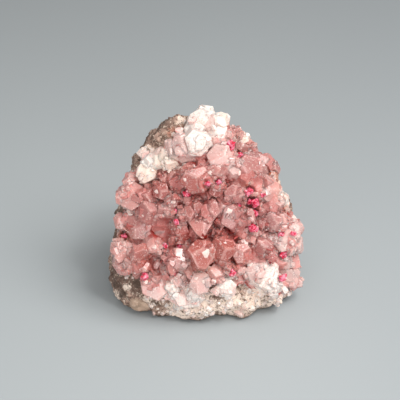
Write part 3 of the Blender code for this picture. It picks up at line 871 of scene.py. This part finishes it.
large_draw = random.Random(5)
pink_large, white_large = Druse(), Druse()
for tint_name, rows in LARGE_CRYSTALS.items():
    for across, up, width, habit in rows:
        place, _ = met(cad_tree, across, up)
        slope = smooth_normal(place, SLOPE_REACH)
        axis = (slope + OUT_OF_FACE * (TURNED_OUT + smooth_step(*LIP, up))).normalized()
        tint = rgb(TINTS[tint_name])
        frosted = FROSTED.get(tint_name, 0.0)
        large = white_large if tint_name in FROSTED else pink_large
        turn = large_draw.uniform(0, math.tau)
        side = axis.orthogonal().normalized()
        for i in range(1 + large_draw.choice(YOUNG_COUNTS)):
            share = MAIN_WIDTH if i == 0 else large_draw.uniform(*YOUNG_WIDTH)
            around = Matrix.Rotation(large_draw.uniform(0, math.tau), 3, axis) @ side
            tip = place + axis * TIP_RISE * MM
            if i:
                aside = around * large_draw.uniform(*YOUNG_ASIDE)
                tip += (aside - axis * large_draw.uniform(*YOUNG_BELOW)) * width * MM
            if i and near_cobalt(tip, YOUNG_ROOM):
                continue
            tilted = (axis + around * large_draw.uniform(*TILT)).normalized()
            mixed = blended(tint, WHITE, large_draw.uniform(*PALER))
            pattern = cut_crystal(habit, large_draw, SOFT_EDGE)
            size = width * share * MM
            length = large_draw.uniform(*LARGE_LENGTH)
            tip = settle(pattern, size, length, tip, tilted, TOP_OUT)
            while length > SHORTEST and stands_out(pattern, size, length, tip, tilted) > MOST_OUT:
                length *= SHORTENED
            own_turn = turn + large_draw.uniform(-0.1, 0.1)
            large.grow(pattern, size, length, tip, tilted, own_turn, mixed, frosted, TIP_SHADE)
            bpy.data.meshes.remove(pattern)
print(len(pink_large.depths) + len(white_large.depths), "points in the large crystals")

# %% [markdown]
# ## The pointed crystal
# One crystal in the middle points down and out of the face instead of growing square to it, and
# its tip hangs free over the hollow below. Its axis is given.
# %% The pointed crystal
POINTED_PLACE = (-1.6, -7.0)
POINTED_WIDTH = 6.4 * MM
POINTED_LENGTH = 0.9
POINTED_OUT = 2.0 * MM
POINTED_TURN = math.radians(60)
POINTED_EDGE = 0.03
POINTED_SHADE = -0.2

down_and_out = (OUT_OF_FACE * 1.3 - UP_FACE).normalized()
pointed_tip = met(cad_tree, *POINTED_PLACE)[0] + OUT_OF_FACE * POINTED_OUT
pointed = cut_crystal(TOOTH, random.Random(2), POINTED_EDGE)
pink_large.grow(
    pointed, POINTED_WIDTH, POINTED_LENGTH, pointed_tip, down_and_out, POINTED_TURN,
    rgb(TINTS["blush"]), 0, POINTED_SHADE,
)
bpy.data.meshes.remove(pointed)
print("its tip is", round((pointed_tip - FACE_MIDDLE).dot(OUT_OF_FACE) / MM, 1), "mm out of the middle")

# %% [markdown]
# ## Filling crystals
# Between the listed crystals the bed is covered with others at random, from a few patterns that are
# cut once and then turned and scaled. They take their colour from the place they grow at. Those
# that would stand out past the crust's edge are left out.
# %% Filling crystals
FILL_HABITS = (NAIL, BLOCK, TOOTH, BLOCK)
FILL_EDGE = 0.05
FILL_SPACING = 2.9
FILL_FLOOR = 2.5 * MM
FILL_ROOM = 1.5
FILL_REACH = 2.0
FILL_TURNED_OUT = 0.5
FILL_LEAN = 0.25
FILL_WIDTH, FILL_LENGTH = (2.2, 4.4), (0.85, 1.1)
FILL_TIP_RISE = 0.8
FILL_TOP_OUT = 0.5
FILL_MOST_OUT = 0.9 * MM
FILL_FROST = 0.8
MIDDLE = Vector((0, 2, 22)) * MM

fill_draw = random.Random(31)
fill_patterns = [cut_crystal(habit, fill_draw, FILL_EDGE, 1) for habit in FILL_HABITS for _ in range(4)]
fill_bed = gathered(crust)
pink_fill = Druse()
for place, normal, draw in surface_spots(fill_bed, FILL_SPACING):
    if normal.dot(place - MIDDLE) < 0 or place.z < FILL_FLOOR or near_cobalt(place, FILL_ROOM):
        continue
    slope = smooth_normal(place, FILL_REACH)
    lean = Vector([draw.gauss(0, FILL_LEAN) for _ in range(3)])
    axis = (slope + OUT_OF_FACE * FILL_TURNED_OUT + lean).normalized()
    width = draw.uniform(*FILL_WIDTH) * MM
    pattern = draw.choice(fill_patterns)
    length = draw.uniform(*FILL_LENGTH)
    tip = place + axis * FILL_TIP_RISE * MM
    tip = settle(pattern, width, length, tip, axis, FILL_TOP_OUT)
    if stands_out(pattern, width, length, tip, axis) > FILL_MOST_OUT:
        continue
    tint_here, frost_here = tint_at(place)
    fill = white_large if frost_here > MOSTLY_FROSTED else pink_fill
    turn = draw.uniform(0, math.tau)
    mixed = blended(tint_here, WHITE, draw.uniform(*PALER))
    fill.grow(pattern, width, length, tip, axis, turn, mixed, frost_here * FILL_FROST, TIP_SHADE)
fill_bed.free()
large_pieces = []
for druse, name, finish in (
    (pink_fill, "filling_crystals", clear_calcite),
    (pink_large, "large_pink_crystals", clear_calcite),
    (white_large, "large_white_crystals", frosted_calcite),
):
    druse.shade(crust)
    large_pieces.append(druse.finished(name, "pink_calcite", finish))

# %% [markdown]
# ## Small crystals
# Between the large crystals, and here and there on them, sit thousands of small ones, about a
# millimetre wide. Most grow in the nooks, which the rays find, and round the cobalt-bearing
# clusters. They start from random spots on the faces of all that is there already. A spot's chance
# is seeded by its place, so it draws the same numbers in every run.
# %% Small crystals
pattern_draw = random.Random(4)
PATTERNS = [cut_crystal(name, pattern_draw) for name in HABITS for _ in range(3)]
LOW_PATTERNS = PATTERNS[:6]
SMALL_SPACING = 0.8
SMALL_WIDTH, SMALL_LENGTH = (0.6, 1.1), (0.8, 1.2)
SMALL_WIDER = 1.2
SMALL_LEAN = 0.4
SMALL_FLOOR = cad_box[0].z + 1.0 * MM
SMALL_ROOM = 0.9
TOO_SHUT = 0.75
ROOT_SINK = 0.25


def sprout(draw, normal, power):
    """A small crystal's width and axis, by chance. A higher power makes the wide ones rarer."""
    width = draw.uniform(*SMALL_WIDTH) * (1 + SMALL_WIDER * draw.random() ** power) * MM
    lean = Vector([draw.gauss(0, SMALL_LEAN) for _ in range(3)])
    return width, (normal + lean).normalized()


def crowd(place, shut, frost):
    """The share of the spots here that get a small crystal."""
    share = 0.015 + 0.02 * frost**2 + 0.45 * smooth_step(0.3, 0.55, shut)
    return share + 0.4 * smooth_step(0.0, 0.4, near_cobalt(place, 2 * COBALT_FOOT))


druse_bed = gathered(crust, *large_pieces)
bed_tree = BVHTree.FromBMesh(druse_bed)
pink_small, white_small_and_glints = Druse(), Druse()
for place, normal, draw in surface_spots(druse_bed, SMALL_SPACING):
    if normal.dot(place - MIDDLE) < 0 or place.z < SMALL_FLOOR or near_cobalt(place, SMALL_ROOM):
        continue
    shut = shut_in(bed_tree, place, normal)
    tint_here, frost_here = tint_at(place)
    if shut > TOO_SHUT or draw.random() > crowd(place, shut, frost_here):
        continue
    width, axis = sprout(draw, normal, 2)
    small = white_small_and_glints if draw.random() < frost_here else pink_small
    pattern = draw.choice(LOW_PATTERNS if small is white_small_and_glints else PATTERNS)
    length = draw.uniform(*SMALL_LENGTH)
    turn = draw.uniform(0, math.tau)
    mixed = blended(tint_here, WHITE, draw.uniform(0, 0.2))
    frost = min(1.0, frost_here + 0.15 * draw.random())
    # Painted shade from how shut in the spot is and from the shaded gaps.
    depth = 0.4 * shut - 0.2 + patch_share(place, SHADED_GAPS)
    tip = place + normal * ROOT_SINK * width
    small.grow(pattern, width, length, tip, axis, turn, mixed, frost, depth)
print(len(pink_small.depths) + len(white_small_and_glints.depths), "points in the small crystals")

# %% [markdown]
# ## Painted glints
# A few faces shine almost white, as if they caught the light: painted glints. They are low pale
# crystals, set flush on the others and turned to the front, bright from any side. Each row is a
# place across and up the face and a width.
# %% Painted glints
PAINTED_GLINTS = [
    (-0.6, -11.2, 3.4), (21.9, -10, 3.2), (-21.9, 0.1, 2.6), (6.1, 0.5, 2.2), (-23.9, 6.7, 2),
    (-9.8, 3.2, 2.2), (-13.6, -19.3, 2), (16.9, -15.7, 2), (-14.1, 6, 1.9), (25.1, -2.1, 1.9),
    (-14.5, -13.7, 1.8), (-1, -19.5, 1.8), (-6.1, 9.3, 1.6), (23.4, -13.4, 1.8), (12.2, -15, 1.8),
    (11.4, -7.3, 1.6), (2.1, -19.2, 1.6), (-18.2, -1.1, 1.4), (-14.9, -9.9, 1.4), (-3.1, -18.9, 1.4),
    (-17.4, -19.9, 1.4), (9.1, 11.2, 1.6), (0.9, 10.9, 1.6), (-22.2, 9, 1.5), (-12.4, -0.7, 1.5),
    (11.1, -8.8, 1.4), (-14.9, 2.6, 1.5),
]
GLINT_SHARE, GLINT_LENGTH = 0.85, 0.7
GLINT_RISE = 0.08
GLINT_TURNED_OUT = 0.5
GLINT_WHITE, GLINT_FROST, GLINT_SHADE = 0.75, 0.5, -0.3
GLINT_EDGE = 0.04

glint_draw = random.Random(3)
glint_patterns = [cut_crystal(NAIL, glint_draw, GLINT_EDGE, 1) for _ in range(4)]
for across, up, width in PAINTED_GLINTS:
    place, normal = met(bed_tree, across, up)
    pattern = glint_draw.choice(glint_patterns)
    tip = place + normal * GLINT_RISE * width * MM
    axis = (normal + OUT_OF_FACE * GLINT_TURNED_OUT).normalized()
    turn = glint_draw.uniform(0, math.tau)
    # Nearly white colour: a painted glint.
    mixed = blended(tint_at(place)[0], WHITE, GLINT_WHITE)
    size = GLINT_SHARE * width * MM
    white_small_and_glints.grow(pattern, size, GLINT_LENGTH, tip, axis, turn, mixed, GLINT_FROST, GLINT_SHADE)
druse_bed.free()
pink_small.finished("small_pink_crystals", "pink_calcite", clear_calcite)
white_small_and_glints.finished("small_white_crystals_and_glints", "pink_calcite", frosted_calcite)

# %% [markdown]
# ## Cobalt-bearing crystals
# Where there was cobalt in the water, the calcite grew magenta, in tight clusters of small
# crystals. Each cluster fans out from the middle of its solid, as far as the solid's own size, so
# it stays in the place that the solid gives it.
# %% Cobalt-bearing crystals
CRYSTALS_IN_CLUSTER = 8
CLUSTER_TURNED_OUT = 0.9
CLUSTER_WIDTH = (0.45, 0.75)
CLUSTER_REACH = 0.85

cobalt = Finish("cobalt_calcite")
zoning = cobalt.specks(0.8, 3.0, 0.55, 0.42, 0.58)
shade = cobalt.mix(colour(252, 138, 162), colour(208, 30, 70), zoning)
cobalt_finish = cobalt.set(
    Base_Color=shade, Roughness=0.15, Subsurface_Weight=0.6, Subsurface_Radius=(1.0, 0.4, 0.6),
    Subsurface_Scale=0.4 * MM, Transmission_Weight=0.2, IOR=CALCITE_IOR, Coat_Weight=0.5,
    Coat_Roughness=0.05,
)
cobalt_draw = random.Random(8)
for name in cobalt_nodes:
    low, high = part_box(name)
    middle, size = (low + high) / 2, sum(high - low) / 6
    cluster = Druse()
    for _ in range(CRYSTALS_IN_CLUSTER):
        way = Vector([cobalt_draw.gauss(0, 1) for _ in range(3)]).normalized()
        way = (way + OUT_OF_FACE * CLUSTER_TURNED_OUT).normalized()
        width = size * cobalt_draw.uniform(*CLUSTER_WIDTH)
        pattern = cobalt_draw.choice(PATTERNS)
        length = cobalt_draw.uniform(*SMALL_LENGTH)
        turn = cobalt_draw.uniform(0, math.tau)
        tip = middle + way * size * CLUSTER_REACH
        cluster.grow(pattern, width, length, tip, way, turn, (1, 1, 1), 0, 0)
    cluster.finished(name.replace("crystal", "cluster"), "cobalt_calcite", cobalt_finish, name)

# %% [markdown]
# ## The host rock
# The rock is grey-brown, with a broken surface of lumps, ledges and sharp grains. Three kinds of
# noise give the three kinds of relief: fractal noise rolls, ridged noise breaks off in ledges, and
# cell noise makes grains. They move real points, so the rough outline shows too. The base stays
# flat, and its edge is drawn in a little, which gives the dark line where a stone meets the table.
# Patches of cream, dark and rusty rock are stored in the points of the front, and its nodules and
# pits are raised and sunk. The pits are also darkened, as painted shade.
# %% The host rock
ROCK_GRID = 0.40
LUMP_SIZE, LEDGE_SIZE, GRAIN_SIZE = 3.0 * MM, 4.0 * MM, 1.1 * MM
LUMP_RISE, LEDGE_RISE, LEDGE_DROP, GRAIN_RISE = 0.6, 0.45, 0.6, 0.5
NODULE_RISE, PIT_DROP = 0.6, 1.2
FRONT = (-0.35, 0.15)
FLAT_FOOT = 0.6 * MM
UNDERCUT = 0.04
UNDERCUT_HEIGHT = 1.6 * MM
ROCK_MARKS = {
    "cream": [
        (-17, -25, 2), (-1, -26.5, 6), (-8, -28, 5), (7, -27, 6),
        (14, -26, 5), (20, -27, 5), (-7.5, 26.4, 1.6), (-27, -24.5, 2.5),
        (-23, -21.6, 1.6),
    ],
    "dark": [
        (-26, -19, 3.6), (-20, -21, 3), (-24, 12, 3), (-29, -4, 6),
        (-13, 27, 3.6), (-17, 21, 2.4),
    ],
    "rust": [(-9.9, 22.9, 1.8), (-7.6, 24.2, 1.2), (22, 7.6, 2), (-25, -6.4, 2)],
    "nodule": [(-20.8, -26.8, 1.9), (-18.8, -27.6, 1.9), (-19.8, -27.4, 2.2)],
    "pit": [
        (-20, -20.6, 1.5), (-15, -26, 1.3), (-24.5, -23.8, 1.4), (-26.6, -21.4, 1.2),
        (-6.8, 28.2, 0.8),
    ],
}

rock_bm = refaced(copied_solid("host_rock"), ROCK_GRID)
rock_bm.normal_update()
rock_bm.verts.index_update()
fronts = [smooth_step(*FRONT, vert.normal.dot(OUT_OF_FACE)) for vert in rock_bm.verts]
for vert in rock_bm.verts:
    if vert.co.z > FLAT_FOOT:
        lumps = noise.fractal(vert.co / LUMP_SIZE, 0.9, 2.1, 4) * LUMP_RISE
        ledges = noise.ridged_multi_fractal(vert.co / LEDGE_SIZE, 1.0, 2.2, 4, 0.9, 1.8)
        ledges = ledges * LEDGE_RISE - LEDGE_DROP
        grains = 0.5 - noise.voronoi(vert.co / GRAIN_SIZE)[0][0]
        marks = NODULE_RISE * patch_share(vert.co, ROCK_MARKS["nodule"])
        marks -= PIT_DROP * patch_share(vert.co, ROCK_MARKS["pit"])
        marks *= fronts[vert.index]
        vert.co += vert.normal * (lumps + ledges + grains * GRAIN_RISE + marks) * MM
    shrink = UNDERCUT * max(0.0, 1 - vert.co.z / UNDERCUT_HEIGHT)
    vert.co.x -= shrink * vert.co.x
    vert.co.y -= shrink * vert.co.y
rock_bm.normal_update()
rock = as_object(rock_bm, "broken_host_rock")
rock.data.shade_smooth()
for name, patches in ROCK_MARKS.items():
    shares = [front * patch_share(v.co, patches) for v, front in zip(rock.data.vertices, fronts)]
    add_attribute(rock.data, name, shares)
print("rock with", len(rock.data.polygons), "faces")

# %% [markdown]
# ## The rock's finish
# Broken rock is matt, and its colour comes from its grains: dark and pale minerals, with the
# patches of the last step laid over them. Each layer is one step of noise, and adding a patch to
# the noise before the step gives it a ragged edge instead of a round one. Painted shade darkens the
# pits and the foot, where the stone meets the table.
# %% The rock's finish
CONTACT_SHADE_HEIGHT = (1.1 * MM, 0.5 * MM)

stone = Finish("host_rock")
cloud = stone.grain(2.2, 5, 0.65)
speckle = stone.grain(1.1, 5, 0.75)
tone = stone.mix(colour(98, 74, 62), colour(174, 145, 130), stone.step(cloud, 0.38, 0.62))
dark = stone.step(stone.attribute("dark") + cloud, 0.75, 1.1)
rust = stone.step(stone.attribute("rust") + 0.4 * cloud, 0.5, 0.9)
cream = stone.step(stone.attribute("cream") + 2.0 * speckle, 1.45, 1.8)
pale_grains = stone.specks(0.8, 4, 0.65, 0.56, 0.62)
dark_grains = stone.specks(0.75, 4, 0.65, 0.45, 0.4)
nodule = stone.step(stone.attribute("nodule") + 0.5 * speckle, 0.5, 0.8)
# Painted shade in the pits.
pit = stone.step(stone.attribute("pit") + 0.5 * speckle, 0.55, 0.9)
# Painted shade along the foot, where the stone meets the table.
foot = stone.step(stone.along("Z"), *CONTACT_SHADE_HEIGHT)
for layer_colour, share in (
    (colour(96, 74, 64), 0.8 * dark),
    (colour(156, 98, 78), 0.7 * rust),
    (colour(218, 199, 185), cream),
    (colour(208, 192, 175), 0.8 * pale_grains),
    (colour(64, 50, 40), 0.9 * dark_grains),
    (colour(190, 164, 142), 0.6 * nodule),
    (colour(70, 54, 44), 0.75 * pit),
    (colour(80, 66, 55), 0.85 * foot),
):
    tone = stone.mix(tone, layer_colour, share)
rock_finish = stone.set(
    Base_Color=tone, Roughness=0.8, Normal=stone.bump(stone.grain(0.3, 5, 0.7), 0.12, 0.9),
)
dressed(rock, "host_rock", rock_finish, "host_rock")

# %% [markdown]
# ## Calcite grains on the rock
# The crust doesn't end at a line. It thins out over the rock's edge into separate white grains, so
# these are sown on the rock itself, thickest beside the crust and along the foot.
# %% Calcite grains on the rock
GRAINY_ROCK = [
    (-14, -25.5, 3.5), (-8, -27.5, 4), (-1, -26.5, 5), (7, -26, 5), (14, -25.5, 4.5),
    (21, -25.5, 4),
]
GRAIN_TINTS = [(246, 228, 214), (230, 210, 190), (206, 184, 166), (176, 156, 140)]
SEAM_WIDTH, SEAM_FULL = 1.2, 0.3
SEAM_CROWD, FOOT_CROWD = 0.8, 0.3
GRAIN_FLOOR = 1.8 * MM
GRAIN_LENGTH = (0.7, 1.0)
GRAIN_TINTED, GRAIN_FROST = (0.3, 0.9), (0, 0.7)
GRAIN_SHADE = -0.4

rock_bed = gathered(rock)
grains = Druse()
for place, normal, draw in surface_spots(rock_bed, SMALL_SPACING):
    if place.z < GRAIN_FLOOR or normal.dot(OUT_OF_FACE) < 0:
        continue
    share = patch_share(place, GRAINY_ROCK)
    seam = smooth_step(SEAM_WIDTH, SEAM_FULL, cad_tree.find_nearest(place)[3] / MM)
    if draw.random() > max(FOOT_CROWD * share, SEAM_CROWD * seam):
        continue
    width, axis = sprout(draw, normal, 3)
    pattern = draw.choice(LOW_PATTERNS)
    length = draw.uniform(*GRAIN_LENGTH)
    turn = draw.uniform(0, math.tau)
    own_tint = rgb(draw.choice(GRAIN_TINTS))
    mixed = blended(tint_at(place)[0], own_tint, draw.uniform(*GRAIN_TINTED))
    frost = draw.uniform(*GRAIN_FROST)
    tip = place + normal * ROOT_SINK * width
    grains.grow(pattern, width, length, tip, axis, turn, mixed, frost, GRAIN_SHADE)
rock_bed.free()
grains.finished("calcite_grains_on_rock", "pink_calcite", frosted_calcite)
